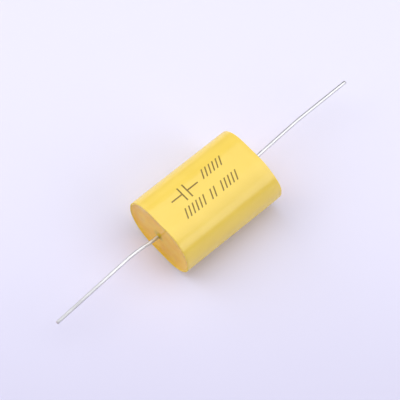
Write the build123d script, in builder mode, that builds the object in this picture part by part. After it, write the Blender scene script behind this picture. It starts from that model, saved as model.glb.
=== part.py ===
"""Axial film capacitor with a flat-oval body: a pressed film winding inside a yellow tape wrap,
closed at both ends with cast resin, with one bare wire lead leaving each end."""

import os
from math import radians, tan

from build123d import *

# Body: a flat oval that lies on one of its two pressed faces
body_length = 33.0  # the tape wrap, edge to edge, along the leads
body_width = 23.6  # across the oval
body_height = 18.0  # between the two pressed faces
side_flat = 1.0  # straight stretch at the middle of each rounded side
tape_thickness = 0.08  # one turn of tape with its adhesive
tape_turns = 6

# Layers inside each end of the tape wrap, from the winding outwards
contact_thickness = 0.6  # metal sprayed on the winding's end
resin_depth = 2.2  # cast resin over the contact
resin_recess = 0.4  # the resin's face lies this far inside the tape's edge

# Resin creeps up the tape and up the wire while it sets
creep_height = 0.3
creep_width = 0.7
creep_lip = 0.1  # left at the top of the creep, against the tape
collar_height = 0.45
collar_foot = 0.8  # how far the collar spreads from the wire at its foot
collar_lip = 0.1  # and at its top

# Leads: tinned wire with a flattened head that is welded to the contact
lead_diameter = 1.0
head_diameter = 3.6
head_thickness = 0.5
tip_bevel = 0.12
exit_run = 0.6  # straight wire outside the resin before the first slight bend
first_bend_radius = 20.0
second_bend_radius = 40.0

# Each lead as it lies: where it is welded across the oval, and its two gentle headings
front_offset = 0.35
front_length = 36.1  # from the tape's edge to the cut tip, along the body
front_second_bend = 7.6  # from the tape's edge
front_headings = (5.8, -3.9)  # degrees, towards +Y
rear_offset = 0.7
rear_length = 37.4
rear_second_bend = 18.8
rear_headings = (3.4, 0.5)

# Stations along X, measured from the middle of the body
half_length = body_length / 2
resin_face = half_length - resin_recess
contact_face = resin_face - resin_depth
winding_end = contact_face - contact_thickness
collar_end = resin_face + collar_height

# The tape's outline, and its bore that everything inside fills
side_radius = (body_height - side_flat) / 2
axis_height = body_height / 2
tape_wall = tape_turns * tape_thickness
bore_width = body_width - 2 * tape_wall
bore_height = body_height - 2 * tape_wall
bore_radius = side_radius - tape_wall
lead_radius = lead_diameter / 2

FRONT = -1  # the end at -X
REAR = 1  # the end at +X


def end_plane(end, station):
    """The plane across the body at a station on its front or rear half, facing outwards."""
    return Plane(origin=(end * station, 0, axis_height), x_dir=(0, 1, 0), z_dir=(end, 0, 0))


def make_tape_wrap():
    """The wound tape: an oval tube whose last turn ends in a small step along the +Y side."""
    side = body_width / 2
    flat = side - side_radius
    low, high = side_radius, body_height - side_radius
    lap = side + tape_thickness
    with BuildPart() as tape_wrap:
        with BuildSketch(Plane.YZ.offset(-half_length)):
            with BuildLine():
                Line((-flat, 0), (flat, 0))
                EllipticalCenterArc((flat, low), lap - flat, side_radius, -90, arc_size=90)
                Polyline((lap, low), (lap, axis_height), (side, axis_height), (side, high))
                CenterArc((flat, high), side_radius, 0, 90)
                Line((flat, body_height), (-flat, body_height))
                CenterArc((-flat, high), side_radius, 90, 90)
                Line((-side, high), (-side, low))
                CenterArc((-flat, low), side_radius, 180, 90)
            make_face()
            with Locations((0, axis_height)):
                RectangleRounded(bore_width, bore_height, bore_radius, mode=Mode.SUBTRACT)
        extrude(amount=body_length)
    tape_wrap.part.label = "tape_wrap"
    export_step(tape_wrap.part, "parts/tape_wrap.step")


def make_film_winding():
    """The pressed roll of metallised film, which fills the tape's bore between the contacts."""
    with BuildPart() as film_winding:
        with BuildSketch(end_plane(REAR, -winding_end)):
            RectangleRounded(bore_width, bore_height, bore_radius)
        extrude(amount=2 * winding_end)
    film_winding.part.label = "film_winding"
    export_step(film_winding.part, "parts/film_winding.step")


def make_end_contact(name, end):
    """The metal layer sprayed over one end of the winding."""
    with BuildPart() as end_contact:
        with BuildSketch(end_plane(end, winding_end)):
            RectangleRounded(bore_width, bore_height, bore_radius)
        extrude(amount=contact_thickness)
    end_contact.part.label = name
    export_step(end_contact.part, f"parts/{name}.step")


def make_resin_seal(name, end, offset):
    """The cast resin over one contact, dished by its creep up the tape and up the wire."""
    foot, lip = creep_width, creep_lip
    with BuildPart() as resin_seal:
        with BuildSketch(end_plane(end, contact_face)):
            RectangleRounded(bore_width, bore_height, bore_radius)
        extrude(amount=resin_depth + creep_height)
        with BuildSketch(end_plane(end, resin_face)):
            RectangleRounded(bore_width - 2 * foot, bore_height - 2 * foot, bore_radius - foot)
        with BuildSketch(end_plane(end, resin_face + creep_height)):
            RectangleRounded(bore_width - 2 * lip, bore_height - 2 * lip, bore_radius - lip)
        loft(ruled=True, mode=Mode.SUBTRACT)
        with BuildSketch(end_plane(end, resin_face)):
            with Locations((offset, 0)):
                Circle(lead_radius + collar_foot)
        with BuildSketch(end_plane(end, collar_end)):
            with Locations((offset, 0)):
                Circle(lead_radius + collar_lip)
        loft(ruled=True)
        with BuildSketch(end_plane(end, contact_face)):
            with Locations((offset, 0)):
                Circle(lead_radius)
        extrude(amount=resin_depth + collar_height, mode=Mode.SUBTRACT)
        with BuildSketch(end_plane(end, contact_face)):
            with Locations((offset, 0)):
                Circle(head_diameter / 2)
        extrude(amount=head_thickness, mode=Mode.SUBTRACT)
    resin_seal.part.label = name
    export_step(resin_seal.part, f"parts/{name}.step")


def make_lead(name, end, offset, length, second_bend, headings):
    """One wire: its head on the contact, straight out through the resin, then two slight bends."""
    first_slope, last_slope = (tan(radians(heading)) for heading in headings)
    first_corner = collar_end + exit_run + first_bend_radius * tan(radians(headings[0]) / 2)
    second_corner = half_length + second_bend
    tip = half_length + length
    second_y = offset + (second_corner - first_corner) * first_slope
    tip_y = second_y + (tip - second_corner) * last_slope
    with BuildPart() as lead:
        with BuildLine() as route:
            FilletPolyline(
                (end * contact_face, offset, axis_height),
                (end * first_corner, offset, axis_height),
                (end * second_corner, second_y, axis_height),
                (end * tip, tip_y, axis_height),
                radius=[first_bend_radius, second_bend_radius],
            )
        with BuildSketch(end_plane(end, contact_face)):
            with Locations((offset, 0)):
                Circle(lead_radius)
        sweep(path=route.line)
        cut_face = lead.faces().sort_by(Axis((0, 0, 0), (end, 0, 0)))[-1]
        chamfer(cut_face.edges(), tip_bevel)
        with BuildSketch(end_plane(end, contact_face)):
            with Locations((offset, 0)):
                Circle(head_diameter / 2)
        extrude(amount=head_thickness)
    lead.part.label = name
    export_step(lead.part, f"parts/{name}.step")


os.makedirs("parts", exist_ok=True)
make_tape_wrap()
make_film_winding()
make_end_contact("end_contact_front", FRONT)
make_end_contact("end_contact_rear", REAR)
make_resin_seal("resin_seal_front", FRONT, front_offset)
make_resin_seal("resin_seal_rear", REAR, rear_offset)
make_lead("lead_front", FRONT, front_offset, front_length, front_second_bend, front_headings)
make_lead("lead_rear", REAR, rear_offset, rear_length, rear_second_bend, rear_headings)
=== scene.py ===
"""Looks of the film capacitor: the tape wrap, the resin ends and the leads as detailed meshes round the
CAD solids, with procedural materials, on a pale floor under soft studio light."""

import math

import bpy
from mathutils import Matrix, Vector, noise


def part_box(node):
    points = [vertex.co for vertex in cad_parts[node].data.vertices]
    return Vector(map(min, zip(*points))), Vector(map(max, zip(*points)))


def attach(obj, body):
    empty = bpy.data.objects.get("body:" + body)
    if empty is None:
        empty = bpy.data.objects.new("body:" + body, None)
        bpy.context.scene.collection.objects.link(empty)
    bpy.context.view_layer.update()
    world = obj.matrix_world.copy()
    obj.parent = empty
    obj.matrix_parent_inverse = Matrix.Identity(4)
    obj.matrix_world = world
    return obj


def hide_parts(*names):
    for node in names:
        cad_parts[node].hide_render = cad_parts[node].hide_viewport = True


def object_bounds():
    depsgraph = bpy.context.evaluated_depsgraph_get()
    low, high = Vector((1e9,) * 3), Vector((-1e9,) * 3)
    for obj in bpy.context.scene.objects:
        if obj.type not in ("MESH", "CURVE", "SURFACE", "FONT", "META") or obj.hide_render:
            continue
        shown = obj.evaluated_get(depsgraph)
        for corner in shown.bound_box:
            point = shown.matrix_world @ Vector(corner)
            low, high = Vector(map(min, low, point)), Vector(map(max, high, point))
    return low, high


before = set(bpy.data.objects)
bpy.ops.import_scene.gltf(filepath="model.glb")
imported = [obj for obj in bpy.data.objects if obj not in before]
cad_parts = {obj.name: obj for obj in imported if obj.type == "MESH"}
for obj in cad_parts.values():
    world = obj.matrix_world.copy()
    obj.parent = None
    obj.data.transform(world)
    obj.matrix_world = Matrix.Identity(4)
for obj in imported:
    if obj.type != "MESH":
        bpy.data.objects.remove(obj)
cad_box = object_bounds()

MM = 0.001

# Body sizes, read from the frame
tape_low, tape_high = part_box("tape_wrap")
core_low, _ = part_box("film_winding")
seal_low, seal_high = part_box("resin_seal_rear")
half_length = tape_high.x
half_width = -tape_low.y
body_height = tape_high.z
axis_height = body_height / 2
lap_thickness = tape_high.y - half_width
tape_wall = core_low.z
contact_face = seal_low.x
collar_end = seal_high.x

# Body sizes that the part's source names
side_flat = 1.0 * MM
resin_recess = 0.4 * MM
creep_height = 0.3 * MM
collar_foot = 0.8 * MM
collar_lip = 0.1 * MM
side_radius = (body_height - side_flat) / 2
resin_face = half_length - resin_recess
collar_height = collar_end - resin_face

# Leads: the same route as in the part's source
lead_radius = 0.5 * MM
head_radius = 1.8 * MM
head_thickness = 0.5 * MM
exit_run = 0.6 * MM
first_bend_radius = 20.0 * MM
second_bend_radius = 40.0 * MM
FRONT = -1
REAR = 1
front_lead = {
    "offset": 0.35 * MM,
    "length": 36.1 * MM,
    "second_bend": 7.6 * MM,
    "headings": (5.8, -3.9),
}
rear_lead = {
    "offset": 0.7 * MM,
    "length": 37.4 * MM,
    "second_bend": 18.8 * MM,
    "headings": (3.4, 0.5),
}


# Mesh helpers

SHARP_ANGLE = 40  # degrees; a sharper edge isn't smoothed over


def grid_mesh(name, rings, wrap_rings=False, sharp_angle=SHARP_ANGLE, second_bands=()):
    """A piece from closed rings of equally many points; the rings join up, or are capped at both ends.

    The bands of faces that follow the rings in second_bands take the piece's second material."""
    count = len(rings[0])
    points = [point for ring in rings for point in ring]
    faces = []
    materials = []
    bands = len(rings) if wrap_rings else len(rings) - 1
    for band in range(bands):
        here = band * count
        there = (band + 1) % len(rings) * count
        for i in range(count):
            j = (i + 1) % count
            faces.append((here + i, here + j, there + j, there + i))
            materials.append(int(band in second_bands))
    if not wrap_rings:
        faces.append(tuple(reversed(range(count))))
        faces.append(tuple(range(len(points) - count, len(points))))
        materials += [0, int(bands - 1 in second_bands)]
    return finish_mesh(name, points, faces, sharp_angle, materials)


def finish_mesh(name, points, faces, sharp_angle=SHARP_ANGLE, materials=None):
    """Makes a piece of closed shells, with its faces turned outwards, smooth but for its sharp edges."""
    mesh = bpy.data.meshes.new(name)
    mesh.from_pydata(points, [], faces)
    volume = sum(face.normal.dot(face.center) * face.area for face in mesh.polygons)
    if volume < 0:
        mesh.flip_normals()
    mesh.polygons.foreach_set("use_smooth", [True] * len(faces))
    if materials:
        mesh.polygons.foreach_set("material_index", materials)
    mesh.set_sharp_from_angle(angle=math.radians(sharp_angle))
    piece = bpy.data.objects.new(name, mesh)
    bpy.context.scene.collection.objects.link(piece)
    return piece


def dress(piece, looks, slot, *nodes):
    """Gives a piece its materials, hangs it under the root body and hides the CAD nodes that it stands for;
    slot is not used.
    """
    for look in looks:
        piece.data.materials.append(look)
    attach(piece, "root")
    if nodes:
        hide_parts(*nodes)


def spread(start, stop, steps):
    """Even stations from start to stop, both ends included."""
    return [start + (stop - start) * i / steps for i in range(steps + 1)]


# The oval that the tape and the resin share

ARC_STEPS = 40
FLAT_STEPS = 14
SIDE_STEPS = 3


def oval_outline():
    """(y, z, normal y, normal z, share of the lap) round the tape's outside, from above the tape's end."""
    flat = half_width - side_radius
    low, high = side_radius, body_height - side_radius
    outline = [(half_width, z, 1.0, 0.0, 0.0) for z in spread(axis_height, high, SIDE_STEPS)[:-1]]
    corners = ((flat, high, 0), (-flat, high, 90), (-flat, low, 180), (flat, low, 270))
    for centre_y, centre_z, start in corners:
        for degrees in spread(start, start + 90, ARC_STEPS):
            turn = math.radians(degrees)
            ny, nz = math.cos(turn), math.sin(turn)
            lap_share = ny if start == 270 else 0.0
            outline.append((centre_y + side_radius * ny, centre_z + side_radius * nz, ny, nz, lap_share))
        if start in (0, 180):
            side = -1 if start == 0 else 1
            level = body_height if start == 0 else 0.0
            across = spread(-side * flat, side * flat, FLAT_STEPS)[1:-1]
            outline += [(y, level, 0.0, -side, 0.0) for y in across]
        if start == 90:
            down = spread(high, low, 2 * SIDE_STEPS)[1:-1]
            outline += [(-half_width, z, -1.0, 0.0, 0.0) for z in down]
    outline += [(half_width, z, 1.0, 0.0, 1.0) for z in spread(low, axis_height, SIDE_STEPS)[1:]]
    return outline


OUTLINE = oval_outline()

# The tape's edges roll in a little where nothing but resin backs them
roll_length = 1.6 * MM
roll_depth = 0.06 * MM


def rolled(x):
    """How far the wrap is drawn in at a station along the body."""
    run = max(0.0, abs(x) - (half_length - roll_length)) / roll_length
    return roll_depth * run * run


def oval_ring(x, inset, lap=0.0):
    """The outline at a station, moved in by inset; lap adds the tape's last turn."""
    depth = inset + rolled(x)
    return [
        Vector((x, y - ny * depth + lap * share, z - nz * depth))
        for y, z, ny, nz, share in OUTLINE
    ]


# Tape wrap: every turn ends at a slightly different station, which shows as fine rings at the edges

turn_setbacks = [length * MM for length in (0.02, 0.0, 0.05, 0.025, 0.07, 0.04)]  # outermost turn first
TAPE_TURNS = len(turn_setbacks)
turn_sway = 0.02 * MM
SWAY_WAVES = 2  # waves of a turn's edge in one round of the body
SWAY_SHIFT = 1.7  # radians between the waves of one turn and of the next
stray_length = 0.65 * MM  # the outermost turn strays this far past the rear edge, midway up the -Y side
STRAY_POWER = 4  # the higher, the narrower the stretch that strays
edge_round = 0.025 * MM
rim_room = 0.12 * MM  # the outside's last ring stops this far short of the edge, clear of its sway
print_room = 0.006 * MM  # the tape's face lies this far inside the CAD solid, so that the ink fits on it
BODY_STEPS = 26
ROLL_STEPS = 8
BORE_STEPS = 6


def turn_edge(end, turn, inset):
    """Ring at the edge of one turn of the tape, swaying a little round the body."""
    station = end * (half_length - turn_sway - turn_setbacks[turn])
    lap = lap_thickness if turn == 0 else 0.0
    ring = oval_ring(station, inset, lap)
    for i, point in enumerate(ring):
        around = math.tau * i / len(ring)
        point.x += end * turn_sway * math.sin(SWAY_WAVES * around + SWAY_SHIFT * turn)
        if end == REAR:
            normal_y = OUTLINE[i][2]
            facing = max(0.0, -normal_y)
            point.x += stray_length * facing**STRAY_POWER * (1 - turn / TAPE_TURNS)
    return ring


def end_rings(end):
    """Rings over one edge of the tape, from the outside in: three for each turn."""
    one_turn = tape_wall / TAPE_TURNS
    rings = []
    for turn in range(TAPE_TURNS):
        outer = print_room if turn == 0 else turn * one_turn
        shoulder = turn_edge(end, turn, outer)
        for point in shoulder:
            point.x -= end * edge_round
        rings.append(shoulder)
        rings.append(turn_edge(end, turn, outer + edge_round))
        rings.append(turn_edge(end, turn, (turn + 1) * one_turn - edge_round))
    return rings


def make_tape_wrap():
    """The wound tape as one closed tube, with its cut edges in the second material."""
    straight_end = half_length - roll_length
    outside_end = half_length - rim_room
    bore_end = half_length - turn_setbacks[-1] - 2 * turn_sway
    outside_stations = spread(-outside_end, -straight_end, ROLL_STEPS)
    outside_stations += spread(-straight_end, straight_end, BODY_STEPS)[1:-1]
    outside_stations += spread(straight_end, outside_end, ROLL_STEPS)
    bore_stations = spread(bore_end, straight_end, BORE_STEPS)
    bore_stations += spread(straight_end, -straight_end, BORE_STEPS)[1:-1]
    bore_stations += spread(-straight_end, -bore_end, BORE_STEPS)
    rear_rings = end_rings(REAR)
    front_rings = end_rings(FRONT)
    rings = [oval_ring(x, print_room, lap_thickness) for x in outside_stations]
    rear_edge = range(len(rings), len(rings) + len(rear_rings) - 1)
    rings += rear_rings
    rings += [oval_ring(x, tape_wall) for x in bore_stations]
    front_edge = range(len(rings), len(rings) + len(front_rings) - 1)
    rings += reversed(front_rings)
    edges = [*rear_edge, *front_edge]
    return grid_mesh("tape_wrap_skin", rings, wrap_rings=True, second_bands=edges)


# Resin: dished by its creep up the tape, with a collar round the wire and a slightly uneven face

seal_gap = 0.004 * MM  # between the resin and the tape
wave_height = 0.05 * MM
wave_size = 4.0 * MM
dish_width = 3.4 * MM  # the resin's face rises towards the tape over this width
DISH_POWER = 2
COLLAR_POWER = 3
wire_shade_width = 1.8 * MM  # painted shade: the resin is darker round the wire, out to this distance from it
RESIN_SHARP_ANGLE = 50  # degrees

# Rings of the face lie closer near the wire and near the tape: shares of the way from one to the other
collar_share = 0.096
rim_share = 0.86
COLLAR_STEPS = 8
FACE_STEPS = 16
wall_shares = (0.3, 1.0)  # rings down the resin's side, of the way from its lip to its base


def resin_height(from_wire, from_tape, place):
    """How far the resin's outer face stands past its level, by its distance from the wire and the tape."""
    collar_run = max(0.0, 1 - max(0.0, from_wire - collar_lip) / (collar_foot - collar_lip))
    dish_run = max(0.0, 1 - from_tape / dish_width)
    calm = (1 - collar_run) * (1 - dish_run)
    wave = wave_height * noise.noise(place / wave_size)
    return collar_height * collar_run**COLLAR_POWER + creep_height * dish_run**DISH_POWER + wave * calm


def make_resin_seal(name, end, offset):
    """The resin in one end of the tape, with the wire's hole and a pocket for the lead's head."""
    rim = oval_ring(0.0, tape_wall + seal_gap)
    centre = Vector((0.0, offset, axis_height))
    spokes = []
    for point in rim:
        outward = (point - centre).normalized()
        spokes.append((centre + outward * lead_radius, point, outward))

    def round_ring(station, from_hole):
        """Round ring at a distance from the wire's hole."""
        ring = []
        for hole, _, outward in spokes:
            place = hole + outward * from_hole
            ring.append(Vector((end * station, place.y, place.z)))
        return ring

    def face_ring(share):
        """Ring of the outer face, at a share of the way from the wire to the tape."""
        ring = []
        for hole, wall, outward in spokes:
            reach = (wall - hole).length
            place = hole.lerp(wall, share)
            from_wire, from_tape = share * reach, (1 - share) * reach
            station = resin_face + resin_height(from_wire, from_tape, place + Vector((end, 0, 0)))
            drawn_in = rolled(station) * share
            ring.append(Vector((end * station, place.y, place.z)) - outward * drawn_in)
        return ring

    near_wire = spread(0.0, collar_share, COLLAR_STEPS)
    middle = spread(collar_share, rim_share, FACE_STEPS)[1:]
    near_tape = spread(rim_share, 1.0, FACE_STEPS)[1:]
    rings = [face_ring(share) for share in near_wire + middle + near_tape]
    wall_top = rings[-1]
    wall_base = [Vector((end * contact_face, wall.y, wall.z)) for _, wall, _ in spokes]
    for share in wall_shares:
        rings.append([top.lerp(base, share) for top, base in zip(wall_top, wall_base)])
    head_reach = head_radius - lead_radius
    rings.append(round_ring(contact_face, head_reach))
    rings.append(round_ring(contact_face + head_thickness, head_reach))
    rings.append(round_ring(contact_face + head_thickness, 0.0))
    return grid_mesh(name, rings, wrap_rings=True, sharp_angle=RESIN_SHARP_ANGLE)


# Leads: straight runs joined by wide bends, with a flattened head inside and a cut tip

WIRE_SIDES = 40
BEND_STEPS = 12
run_step = 0.8 * MM
tip_room = 0.01 * MM  # the cut tip stops this far inside the CAD solid
dull_length = 6.0 * MM  # the front lead's outer end is dull over this length
dull_fade = 16.0 * MM  # and turns bright over this one

# The cut tip, ring by ring: shares of the pinched length, of the wire's height and of its width
pinch_length = 0.35 * MM
tip_shares = (
    (0.15, 0.97, 1.0),
    (0.45, 0.75, 1.0),
    (0.85, 0.45, 0.96),
    (1.0, 0.3, 0.9),
)


def bend_path(path, corner, next_corner, radius):
    """Adds a wide bend at a corner to the path; the bend starts and ends on the two straight runs."""
    arrive = (corner - path[-1]).normalized()
    leave = (next_corner - corner).normalized()
    turn = arrive.angle(leave)
    reach = radius * math.tan(turn / 2)
    start, stop = corner - arrive * reach, corner + leave * reach
    centre = start + (leave - arrive * arrive.dot(leave)).normalized() * radius
    run_to(path, start)
    for i in range(1, BEND_STEPS + 1):
        swing = turn * i / BEND_STEPS
        path.append(centre + (start - centre) * math.cos(swing) + arrive * radius * math.sin(swing))
    path[-1] = stop


def run_to(path, stop):
    """Adds a straight run to the path, in short steps."""
    start = path[-1].copy()
    steps = max(1, round((stop - start).length / run_step))
    path += [start.lerp(stop, i / steps) for i in range(1, steps + 1)]


def lead_path(end, offset, length, second_bend, headings):
    """Points along the wire's axis, from its head to its tip."""
    first_slope, last_slope = (math.tan(math.radians(heading)) for heading in headings)
    first_x = collar_end + exit_run + first_bend_radius * math.tan(math.radians(headings[0]) / 2)
    second_x = half_length + second_bend
    tip_x = half_length + length - tip_room
    second_y = offset + (second_x - first_x) * first_slope
    tip_y = second_y + (tip_x - second_x) * last_slope
    corners = [
        Vector((end * x, y, axis_height))
        for x, y in ((first_x, offset), (second_x, second_y), (tip_x, tip_y))
    ]
    path = [Vector((end * (contact_face + head_thickness), offset, axis_height))]
    bend_path(path, corners[0], corners[1], first_bend_radius)
    bend_path(path, corners[1], corners[2], second_bend_radius)
    run_to(path, corners[2] - (corners[2] - corners[1]).normalized() * pinch_length)
    run_to(path, corners[2])
    return path


def wire_ring(centre, along, radius, flatten=1.0):
    """Ring square to the wire; flatten squeezes it upright."""
    sideways = Vector((0, 0, 1)).cross(along).normalized()
    ring = []
    for i in range(WIRE_SIDES):
        around = math.tau * i / WIRE_SIDES
        up = Vector((0, 0, math.sin(around) * radius * flatten))
        ring.append(centre + sideways * math.cos(around) * radius + up)
    return ring


def make_lead(name, end, lead):
    """One wire from its head to its pinched tip, with its cut end in the second material."""
    path = lead_path(end, **lead)
    outward = Vector((end, 0, 0))
    head = Vector((end * contact_face, lead["offset"], axis_height))
    rings = [
        wire_ring(head, outward, head_radius),
        wire_ring(head + outward * head_thickness, outward, head_radius),
    ]
    for i in range(len(path) - 1):
        along = (path[i + 1] - path[max(i - 1, 0)]).normalized()
        rings.append(wire_ring(path[i], along, lead_radius))
    along = (path[-1] - path[-2]).normalized()
    for run, height, width in tip_shares:
        centre = path[-1] - along * pinch_length * (1 - run)
        rings.append(wire_ring(centre, along, lead_radius * width, height / width))
    return grid_mesh(name, rings, second_bands=[len(rings) - 2])


# Print: a schematic symbol and rows of slanting strokes in dark ink, a thin film on the top of the body

ink_thickness = 0.005 * MM  # above the tape's face, and as much below it
ink_step = 0.4 * MM
stroke = 0.42 * MM
stroke_pitch = 1.25 * MM
stroke_lean = 1.3 * MM  # along the body, from a stroke's foot to its top
print_start = -10.0 * MM
symbol_bottom = -0.2 * MM
symbol_length = 9.2 * MM
symbol_height = 4.6 * MM
symbol_gap_share = 0.14  # between the plates, of the symbol's length
upper_row_groups = (6,)
upper_row_start = 0.9 * MM
upper_row_bottom = 1.7 * MM
upper_row_height = 2.7 * MM
lower_row_groups = (6, 2, 5)
lower_row_bottom = -4.4 * MM
lower_row_height = 2.9 * MM


def stroke_row(groups, x, y, height):
    """Groups of slanting strokes along the body, each as left, right, bottom, top and lean."""
    strokes = []
    for count in groups:
        for _ in range(count):
            strokes.append((x, x + stroke, y, y + height, stroke_lean))
            x += stroke_pitch
        x += stroke_pitch
    return strokes


def capacitor_symbol(x, y, length, height):
    """The schematic symbol of a capacitor: two plates, each with its line."""
    gap = symbol_gap_share * length
    line = (length - gap) / 2 - stroke
    level = y + height / 2
    left_plate = x + line
    right_plate = left_plate + stroke + gap
    line_end = right_plate + stroke + line
    return [
        (x, left_plate, level - stroke / 2, level + stroke / 2, 0.0),
        (left_plate, left_plate + stroke, y, y + height, 0.0),
        (right_plate, right_plate + stroke, y, y + height, 0.0),
        (right_plate + stroke, line_end, level - stroke / 2, level + stroke / 2, 0.0),
    ]


def top_point(x, y, lift):
    """Point on the tape's upper side, lifted square to it; y is measured along the tape's face."""
    flat = half_width - side_radius
    beyond = max(0.0, abs(y) - flat)
    turn = beyond / side_radius
    side = math.copysign(1.0, y)
    radius = side_radius - print_room + lift
    reach = min(abs(y), flat) + radius * math.sin(turn)
    rise = body_height - side_radius + radius * math.cos(turn)
    return Vector((x, side * reach, rise))


def make_print():
    """All the marks as one piece of small closed films, which follow the tape's curve."""
    marks = capacitor_symbol(print_start, symbol_bottom, symbol_length, symbol_height)
    marks += stroke_row(upper_row_groups, upper_row_start, upper_row_bottom, upper_row_height)
    marks += stroke_row(lower_row_groups, print_start, lower_row_bottom, lower_row_height)
    section = (0, 1, 3, 2)  # the corners across a mark, in their order round it
    corners = len(section)
    points = []
    faces = []
    for left, right, bottom, top, lean in marks:
        rows = max(1, round((top - bottom) / ink_step))
        first = len(points)
        for y in spread(bottom, top, rows):
            shift = lean * (y - bottom) / (top - bottom)
            for lift in (-ink_thickness, ink_thickness):
                points += [top_point(left + shift, y, lift), top_point(right + shift, y, lift)]
        for row in range(rows):
            here = first + corners * row
            there = here + corners
            for i, j in zip(section, section[1:] + section[:1]):
                faces.append((here + i, here + j, there + j, there + i))
        last = first + corners * rows
        faces.append(tuple(first + i for i in reversed(section)))
        faces.append(tuple(last + i for i in section))
    return finish_mesh("print_marks", points, faces)


# Materials

NOISE_RANGE = (0.3, 0.7)  # most of a noise's values lie between these two

# Heights of the fine relief on each material
tape_wave_relief = 0.1 * MM
tape_line_relief = 0.004 * MM
dust_relief = 0.02 * MM
resin_relief = 0.06 * MM
drawing_relief = 0.01 * MM
smear_relief = 0.02 * MM
ink_relief = 0.003 * MM
film_relief = 0.01 * MM
grain_relief = 0.05 * MM


def new_material(name):
    """A material with its Principled shader and the part's own coordinates in millimetres."""
    material = bpy.data.materials.new(name)
    material.use_nodes = True
    tree = material.node_tree
    shader = tree.nodes["Principled BSDF"]
    place = tree.nodes.new("ShaderNodeTexCoord")
    scale = tree.nodes.new("ShaderNodeMapping")
    scale.inputs["Scale"].default_value = (1 / MM, 1 / MM, 1 / MM)
    tree.links.new(place.outputs["Object"], scale.inputs["Vector"])
    return material, tree, shader, scale.outputs["Vector"]


def noise_value(tree, vector, scale, detail, stretch=(1, 1, 1)):
    """Noise over the part; scale is in features per millimetre, times stretch along each axis."""
    mapping = tree.nodes.new("ShaderNodeMapping")
    mapping.inputs["Scale"].default_value = stretch
    texture = tree.nodes.new("ShaderNodeTexNoise")
    texture.inputs["Scale"].default_value = scale
    texture.inputs["Detail"].default_value = detail
    tree.links.new(vector, mapping.inputs["Vector"])
    tree.links.new(mapping.outputs["Vector"], texture.inputs["Vector"])
    return texture.outputs["Fac"]


def ramp(tree, value, stops, interpolation="LINEAR"):
    """Colour by value: stops are (position, colour)."""
    node = tree.nodes.new("ShaderNodeValToRGB")
    node.color_ramp.interpolation = interpolation
    elements = node.color_ramp.elements
    for i, (position, colour) in enumerate(stops):
        element = elements[i] if i < 2 else elements.new(position)
        element.position = position
        element.color = (*colour, 1.0)
    tree.links.new(value, node.inputs["Fac"])
    return node.outputs["Color"]


def two_tone(tree, value, first, second, between=NOISE_RANGE):
    """Goes from the first colour to the second as a noise goes from one value to another."""
    low, high = between
    return ramp(tree, value, [(low, first), (high, second)])


def remap(tree, value, between, results):
    """Goes from the first result to the second as a value goes between two others."""
    node = tree.nodes.new("ShaderNodeMapRange")
    node.inputs["From Min"].default_value, node.inputs["From Max"].default_value = between
    node.inputs["To Min"].default_value, node.inputs["To Max"].default_value = results
    tree.links.new(value, node.inputs["Value"])
    return node.outputs["Result"]


def blend(tree, share, first, second):
    """Goes from the first colour to the second as share goes from 0 to 1."""
    node = tree.nodes.new("ShaderNodeMix")
    node.data_type = "RGBA"
    sockets = {socket.identifier: socket for socket in node.inputs}
    tree.links.new(share, sockets["Factor_Float"])
    tree.links.new(first, sockets["A_Color"])
    tree.links.new(second, sockets["B_Color"])
    return next(socket for socket in node.outputs if socket.identifier == "Result_Color")


def add_bump(tree, shader, *layers):
    """Stacks bumps on the shader: layers are (height value, relief, strength)."""
    normal = None
    for value, relief, strength in layers:
        node = tree.nodes.new("ShaderNodeBump")
        node.inputs["Distance"].default_value = relief
        node.inputs["Strength"].default_value = strength
        tree.links.new(value, node.inputs["Height"])
        if normal is not None:
            tree.links.new(normal, node.inputs["Normal"])
        normal = node.outputs["Normal"]
    tree.links.new(normal, shader.inputs["Normal"])


def tape_material():
    """Yellow polyester tape with a soft gloss: almost even, with faint waves and lines round the body."""
    material, tree, shader, place = new_material("tape_yellow")
    waves = noise_value(tree, place, scale=0.11, detail=2.0)
    lines = noise_value(tree, place, scale=0.8, detail=1.0, stretch=(1.0, 0.12, 0.12))
    colour = two_tone(tree, waves, (0.90, 0.645, 0.098), (0.935, 0.68, 0.113))
    tree.links.new(colour, shader.inputs["Base Color"])
    tree.links.new(remap(tree, lines, (0.2, 0.8), (0.22, 0.26)), shader.inputs["Roughness"])
    shader.inputs["IOR"].default_value = 1.55
    add_bump(tree, shader, (waves, tape_wave_relief, 0.4), (lines, tape_line_relief, 0.2))
    return material


def tape_edge_material():
    """The cut edges of the tape's turns: dull, a little paler than its face as a painted highlight, with
    specks of dust.
    """
    material, tree, shader, place = new_material("tape_edge")
    dust = noise_value(tree, place, scale=1.2, detail=3.0)
    # painted highlight: the edges' colour is paler than the tape's face
    colour = two_tone(tree, dust, (0.94, 0.68, 0.10), (1.0, 0.76, 0.14))
    tree.links.new(colour, shader.inputs["Base Color"])
    tree.links.new(remap(tree, dust, NOISE_RANGE, (0.5, 0.7)), shader.inputs["Roughness"])
    shader.inputs["Specular IOR Level"].default_value = 0.2
    add_bump(tree, shader, (dust, dust_relief, 0.5))
    return material


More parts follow.
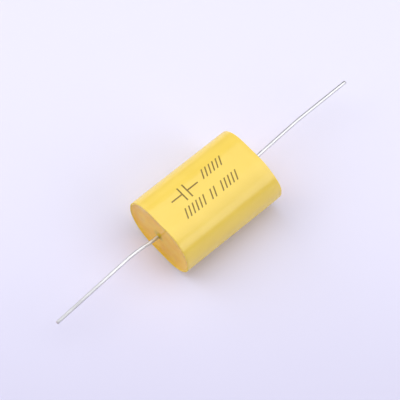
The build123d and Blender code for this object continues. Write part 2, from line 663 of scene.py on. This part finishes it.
def resin_material():
    """Cast amber resin: cloudy, glossy enough to mirror the wire, and darker round the wire as painted
    shade.
    """
    material, tree, shader, place = new_material("resin_amber")
    clouds = noise_value(tree, place, scale=0.25, detail=3.0)
    cast = two_tone(tree, clouds, (0.93, 0.475, 0.006), (0.99, 0.60, 0.03))
    # painted shade round the wire: a darker copy of the resin's colour
    wire_shade_colour = two_tone(tree, clouds, (0.52, 0.365, 0.008), (0.60, 0.43, 0.02))
    # Both ends share this material, so the wire's axis is taken midway between the two leads
    wire_y = (front_lead["offset"] + rear_lead["offset"]) / 2
    across = tree.nodes.new("ShaderNodeMapping")
    across.inputs["Location"].default_value = (0.0, -wire_y / MM, -axis_height / MM)
    across.inputs["Scale"].default_value = (0.0, 1.0, 1.0)
    tree.links.new(place, across.inputs["Vector"])
    reach = tree.nodes.new("ShaderNodeVectorMath")
    reach.operation = "LENGTH"
    tree.links.new(across.outputs["Vector"], reach.inputs[0])
    wire_shade_reach = (lead_radius / MM, (lead_radius + wire_shade_width) / MM)
    wire_shade_share = remap(tree, reach.outputs["Value"], wire_shade_reach, (1.0, 0.0))
    tree.links.new(blend(tree, wire_shade_share, cast, wire_shade_colour), shader.inputs["Base Color"])
    tree.links.new(remap(tree, clouds, NOISE_RANGE, (0.06, 0.1)), shader.inputs["Roughness"])
    shader.inputs["IOR"].default_value = 1.33
    add_bump(tree, shader, (clouds, resin_relief, 0.2))
    return material


def lead_material():
    """Bright tin on drawn wire: lengthwise drawing marks, slightly darker patches and a dull front end."""
    material, tree, shader, place = new_material("lead_tin")
    marks = noise_value(tree, place, scale=1.0, detail=3.0, stretch=(0.15, 7.0, 7.0))
    patches = noise_value(tree, place, scale=0.35, detail=3.0)
    colour = two_tone(tree, patches, (0.62, 0.62, 0.63), (0.70, 0.70, 0.71))
    tree.links.new(colour, shader.inputs["Base Color"])
    shader.inputs["Metallic"].default_value = 1.0
    split = tree.nodes.new("ShaderNodeSeparateXYZ")
    tree.links.new(place, split.inputs["Vector"])
    dull_stop = (cad_box[0].x + dull_length) / MM
    bright_start = dull_stop + dull_fade / MM
    roughness = remap(tree, split.outputs["X"], (dull_stop, bright_start), (0.6, 0.37))
    tree.links.new(roughness, shader.inputs["Roughness"])
    add_bump(tree, shader, (marks, drawing_relief, 0.25))
    return material


def lead_cut_material():
    """The cut end of the wire: copper smeared with tin by the cutter."""
    material, tree, shader, place = new_material("lead_cut")
    smear = noise_value(tree, place, scale=2.5, detail=2.0)
    colour = two_tone(tree, smear, (0.48, 0.25, 0.15), (0.55, 0.52, 0.50), between=(0.4, 0.6))
    tree.links.new(colour, shader.inputs["Base Color"])
    shader.inputs["Metallic"].default_value = 1.0
    tree.links.new(remap(tree, smear, NOISE_RANGE, (0.5, 0.35)), shader.inputs["Roughness"])
    add_bump(tree, shader, (smear, smear_relief, 0.5))
    return material


def ink_material():
    """Dark olive ink, paler in patches where it is thin."""
    material, tree, shader, place = new_material("ink_olive")
    patches = noise_value(tree, place, scale=2.5, detail=3.0)
    colour = two_tone(tree, patches, (0.19, 0.125, 0.02), (0.33, 0.22, 0.035), between=(0.35, 0.75))
    tree.links.new(colour, shader.inputs["Base Color"])
    tree.links.new(remap(tree, patches, NOISE_RANGE, (0.4, 0.55)), shader.inputs["Roughness"])
    add_bump(tree, shader, (patches, ink_relief, 0.4))
    return material


def film_material():
    """Metallised film on the winding: silvery, with fine lines round it."""
    material, tree, shader, place = new_material("film_silver")
    lines = noise_value(tree, place, scale=1.0, detail=2.0, stretch=(6.0, 0.2, 0.2))
    colour = two_tone(tree, lines, (0.55, 0.56, 0.58), (0.72, 0.73, 0.75))
    tree.links.new(colour, shader.inputs["Base Color"])
    shader.inputs["Metallic"].default_value = 0.8
    tree.links.new(remap(tree, lines, NOISE_RANGE, (0.25, 0.4)), shader.inputs["Roughness"])
    add_bump(tree, shader, (lines, film_relief, 0.5))
    return material


def contact_material():
    """Sprayed zinc: matt grey with a coarse grain."""
    material, tree, shader, place = new_material("contact_zinc")
    grain = noise_value(tree, place, scale=5.0, detail=4.0)
    colour = two_tone(tree, grain, (0.32, 0.32, 0.33), (0.55, 0.55, 0.56))
    tree.links.new(colour, shader.inputs["Base Color"])
    shader.inputs["Metallic"].default_value = 0.7
    tree.links.new(remap(tree, grain, NOISE_RANGE, (0.5, 0.7)), shader.inputs["Roughness"])
    add_bump(tree, shader, (grain, grain_relief, 0.8))
    return material


# The object

tape_looks = [tape_material(), tape_edge_material()]
resin_looks = [resin_material()]
lead_looks = [lead_material(), lead_cut_material()]

tape_skin = make_tape_wrap()
dress(tape_skin, tape_looks, "tape", "tape_wrap")

front_resin = make_resin_seal("resin_face_front", FRONT, front_lead["offset"])
dress(front_resin, resin_looks, "resin", "resin_seal_front")
rear_resin = make_resin_seal("resin_face_rear", REAR, rear_lead["offset"])
dress(rear_resin, resin_looks, "resin", "resin_seal_rear")

front_wire = make_lead("lead_wire_front", FRONT, front_lead)
dress(front_wire, lead_looks, "lead", "lead_front")
rear_wire = make_lead("lead_wire_rear", REAR, rear_lead)
dress(rear_wire, lead_looks, "lead", "lead_rear")

dress(make_print(), [ink_material()], "tape")

# The winding and the contacts inside are the CAD solids themselves
film_look = film_material()
contact_look = contact_material()
hidden_looks = {
    "film_winding": film_look,
    "end_contact_front": contact_look,
    "end_contact_rear": contact_look,
}
for node, look in hidden_looks.items():
    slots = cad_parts[node].data.materials
    slots.clear()
    slots.append(look)


# Floor, light and camera

floor_size = 6.0
floor_drop = 0.05 * MM

# Painted shade: the floor's colour is a little darker towards the front, along one direction
shade_azimuth = 48.317  # degrees from +X towards +Y; the painted shade lifts this way
shade_start = -75.0 * MM
shade_stop = 60.0 * MM
floor_painted_shades = [
    (0.0, (0.68, 0.66, 0.83)),
    (0.2, (0.72, 0.70, 0.875)),
    (0.42, (0.785, 0.765, 0.93)),
    (0.62, (0.82, 0.80, 0.955)),
    (1.0, (0.828, 0.813, 0.93)),
]

# Softboxes stand round the object at one distance: where in degrees, how large in metres, and watts
softbox_distance = 1.0
softboxes = {
    "overhead": {"azimuth": 42, "elevation": 81, "width": 2.3, "depth": 0.84, "power": 10.6},
    "right": {"azimuth": -64, "elevation": 30, "width": 0.7, "depth": 0.5, "power": 2.6},
    "left": {"azimuth": 124, "elevation": 24, "width": 2.0, "depth": 0.95, "power": 6.7},
}
sky_shades = [(0.05, (0.06, 0.06, 0.066)), (0.36, (0.24, 0.24, 0.262))]  # by height above the horizon

camera_azimuth = 228.317  # where the camera stands, seen from above, from +X towards +Y
camera_elevation = 62.695
camera_distance = 524.258 * MM
camera_target = Vector((-0.815, 1.167, 9.0)) * MM
frame_pixels = 400
camera_focal_pixels = 1950.0
sensor_width = 36.0  # millimetres, as the lens is


def direction(azimuth, elevation):
    """Unit vector from the object towards a place in the studio."""
    turn, rise = math.radians(azimuth), math.radians(elevation)
    return Vector((math.cos(rise) * math.cos(turn), math.cos(rise) * math.sin(turn), math.sin(rise)))


def make_floor():
    """A sheet of pale paper just under the object, with painted shade darker towards the front."""
    half = floor_size / 2
    mesh = bpy.data.meshes.new("floor")
    corners = [(x, y, -floor_drop) for x, y in ((-half, -half), (half, -half), (half, half), (-half, half))]
    mesh.from_pydata(corners, [], [(0, 1, 2, 3)])
    floor = bpy.data.objects.new("floor", mesh)
    bpy.context.scene.collection.objects.link(floor)
    material, tree, shader, place = new_material("floor_paper")
    along = tree.nodes.new("ShaderNodeVectorMath")
    along.operation = "DOT_PRODUCT"
    along.inputs[1].default_value = direction(shade_azimuth, 0)
    tree.links.new(place, along.inputs[0])
    # painted shade: the floor's colour darkens towards the front
    shade = remap(tree, along.outputs["Value"], (shade_start / MM, shade_stop / MM), (0.0, 1.0))
    colour = ramp(tree, shade, floor_painted_shades, "B_SPLINE")
    tree.links.new(colour, shader.inputs["Base Color"])
    shader.inputs["Roughness"].default_value = 0.9
    shader.inputs["Specular IOR Level"].default_value = 0.1
    mesh.materials.append(material)


def make_softbox(name, azimuth, elevation, width, depth, power):
    """A soft rectangular lamp that faces the object."""
    data = bpy.data.lights.new(name, "AREA")
    data.shape = "RECTANGLE"
    data.size = width
    data.size_y = depth
    data.energy = power
    lamp = bpy.data.objects.new(name, data)
    towards = direction(azimuth, elevation)
    lamp.location = towards * softbox_distance
    lamp.rotation_euler = towards.to_track_quat("Z", "Y").to_euler()
    bpy.context.scene.collection.objects.link(lamp)


def make_world():
    """Even light from above that falls off towards a darker horizon."""
    world = bpy.data.worlds.new("studio")
    bpy.context.scene.world = world
    world.use_nodes = True
    tree = world.node_tree
    background = tree.nodes["Background"]
    place = tree.nodes.new("ShaderNodeTexCoord")
    split = tree.nodes.new("ShaderNodeSeparateXYZ")
    tree.links.new(place.outputs["Generated"], split.inputs["Vector"])
    colour = ramp(tree, split.outputs["Z"], sky_shades)
    tree.links.new(colour, background.inputs["Color"])


def make_camera():
    """The camera at the photograph's viewing angle."""
    data = bpy.data.cameras.new("camera")
    data.sensor_width = sensor_width
    data.lens = camera_focal_pixels * sensor_width / frame_pixels
    camera = bpy.data.objects.new("camera", data)
    back = direction(camera_azimuth, camera_elevation)
    camera.location = camera_target + back * camera_distance
    camera.rotation_euler = (-back).to_track_quat("-Z", "Y").to_euler()
    bpy.context.scene.collection.objects.link(camera)
    bpy.context.scene.camera = camera


make_floor()
make_world()
for name, softbox in softboxes.items():
    make_softbox(name, **softbox)
make_camera()
bpy.context.scene.view_settings.view_transform = "Standard"
